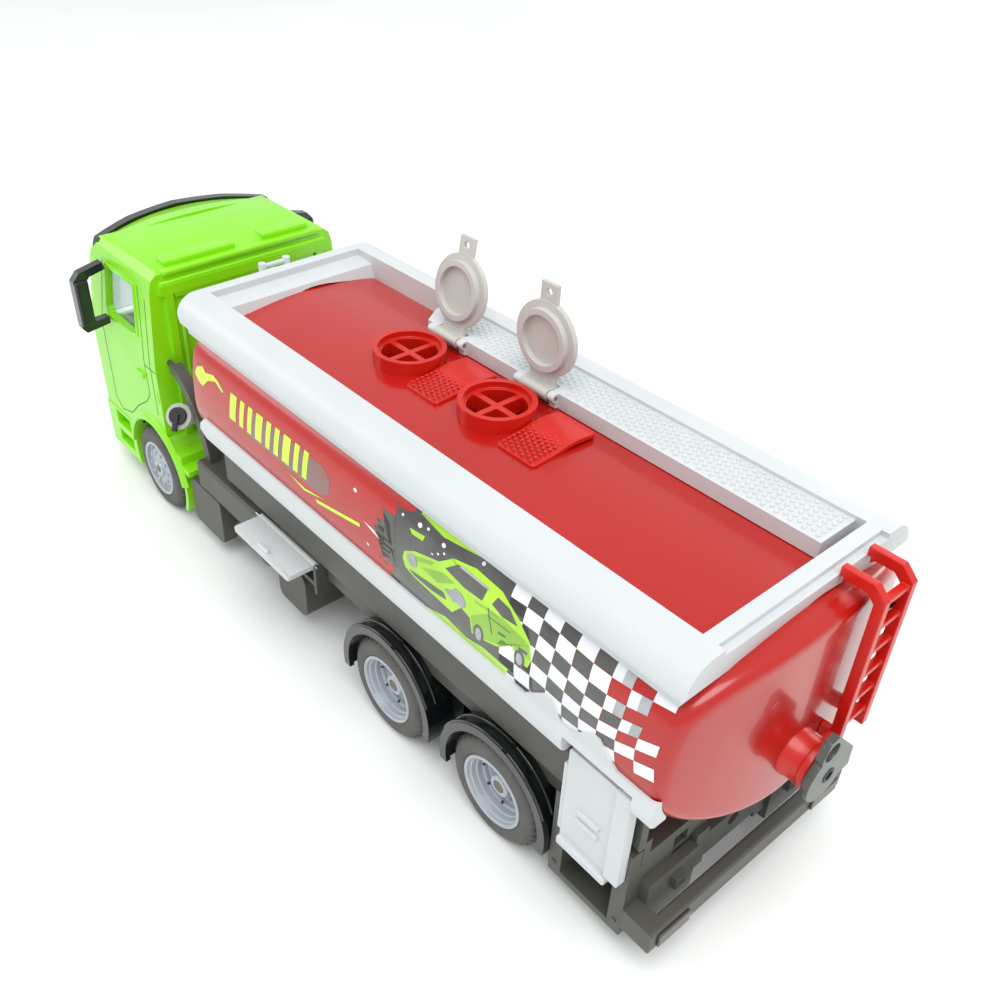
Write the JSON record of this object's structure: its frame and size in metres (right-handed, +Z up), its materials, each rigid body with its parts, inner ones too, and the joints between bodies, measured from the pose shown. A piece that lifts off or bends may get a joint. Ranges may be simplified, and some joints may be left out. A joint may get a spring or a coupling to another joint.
{
  "type": "toy tanker truck",
  "caption": "Toy fuel tanker truck on a rigid three-axle chassis, with a crowned tank, opening filler lids, side flaps, sliding shutters and a rear ladder.",
  "frame": {"origin": "on the ground, under the middle of the truck's length and width", "axes": "+X forward, +Y to the truck's left, +Z up"},
  "size_m": [0.1871, 0.0624, 0.0802],
  "materials": {
    "cab_green": "gloss",
    "dark_trim": "matt",
    "clear": "clear",
    "lamp_red": "gloss",
    "tank_red": "high gloss",
    "trim_red": "gloss",
    "pale": "satin",
    "pale_grey": "satin",
    "chassis": "satin",
    "black_gloss": "gloss",
    "dark_grey": "satin",
    "tyre": "matt",
    "rim": "satin",
    "steel": "satin"
  },
  "bodies": {
    "truck": {"cab_shell": "cab_green", "cab_skirt": "cab_green", "cab_fender_left": "cab_green", "cab_fender_right": "cab_green", "mirror_left": "black_gloss", "mirror_right": "black_gloss", "cab_interior": "dark_trim", "seats": "dark_trim", "grille": "dark_trim", "sun_visor": "black_gloss", "glazing": "clear", "headlights": "clear", "tail_lights": "lamp_red", "tank_shell": "tank_red", "tank_front_cap": "tank_red", "filler_necks": "trim_red", "tread_plates": "trim_red", "ladder": "trim_red", "outlet_spigot": "trim_red", "top_frame": "pale", "walkway": "pale", "lid_pins": "steel", "lower_rail_left": "pale", "lower_rail_right": "pale", "chassis_frame": "chassis", "subframe": "chassis", "side_box_left": "chassis", "side_box_right": "chassis", "battery_boxes": "chassis", "fuel_tanks": "chassis", "air_tanks": "chassis", "cabinet_left": "chassis", "cabinet_right": "chassis", "rear_bumper": "chassis", "intake_arch": "chassis", "knob_collar": "pale_grey", "flap_pins": "steel", "shutter_guides": "pale_grey", "mudguard_left": "black_gloss", "mudguard_right": "black_gloss", "valve_pin": "steel", "chassis_screws": "steel"},
    "lid_front": {"lid_front": "pale_grey"},
    "lid_rear": {"lid_rear": "pale_grey"},
    "flap_left": {"flap_left": "pale_grey"},
    "flap_right": {"flap_right": "pale_grey"},
    "shutter_left": {"shutter_left": "pale"},
    "shutter_right": {"shutter_right": "pale"},
    "valve_plate": {"valve_plate": "dark_grey"},
    "knob_crank": {"knob_crank": "dark_trim"},
    "wheelset_front": {"tyres_front": "tyre", "rims_front": "rim", "axle_front": "steel"},
    "wheelset_middle": {"tyres_middle": "tyre", "rims_middle": "rim", "axle_middle": "steel"},
    "wheelset_rear": {"tyres_rear": "tyre", "rims_rear": "rim", "axle_rear": "steel"}
  },
  "joints": [
    {"name": "roll_front", "type": "hinge", "parent": "truck", "child": "wheelset_front", "pos_m": [0.0667, 0, 0.0103], "axis": [0, 1, 0], "continuous": true},
    {"name": "roll_middle", "type": "hinge", "parent": "truck", "child": "wheelset_middle", "pos_m": [-0.0235, 0, 0.0103], "axis": [0, 1, 0], "continuous": true},
    {"name": "roll_rear", "type": "hinge", "parent": "truck", "child": "wheelset_rear", "pos_m": [-0.0523, 0, 0.0103], "axis": [0, 1, 0], "continuous": true},
    {"name": "lid_front_hinge", "type": "hinge", "parent": "truck", "child": "lid_front", "pos_m": [0.0009, -0.0088, 0.0614], "axis": [1, 0, 0], "range_deg": [-100, 4]},
    {"name": "lid_rear_hinge", "type": "hinge", "parent": "truck", "child": "lid_rear", "pos_m": [-0.0228, -0.0088, 0.0614], "axis": [1, 0, 0], "range_deg": [-91, 12]},
    {"name": "flap_left_hinge", "type": "hinge", "parent": "truck", "child": "flap_left", "pos_m": [-0.0015, 0.0233, 0.0226], "axis": [1, 0, 0], "range_deg": [-90, 15]},
    {"name": "flap_right_hinge", "type": "hinge", "parent": "truck", "child": "flap_right", "pos_m": [-0.0015, -0.0233, 0.0226], "axis": [1, 0, 0], "range_deg": [-105, 0]},
    {"name": "shutter_left_slide", "type": "slide", "parent": "truck", "child": "shutter_left", "axis": [0, 0, 1], "range_m": [-0.01, 0]},
    {"name": "shutter_right_slide", "type": "slide", "parent": "truck", "child": "shutter_right", "axis": [0, 0, 1], "range_m": [0, 0.01]},
    {"name": "valve_plate_swing", "type": "hinge", "parent": "truck", "child": "valve_plate", "pos_m": [-0.0925, 0.0005, 0.0356], "axis": [1, 0, 0], "range_deg": [-60, 120]},
    {"name": "knob_turn", "type": "hinge", "parent": "truck", "child": "knob_crank", "pos_m": [0.0534, 0.0236, 0.0309], "axis": [-0.5604, 0.6005, 0.5704], "continuous": true}
  ]
}
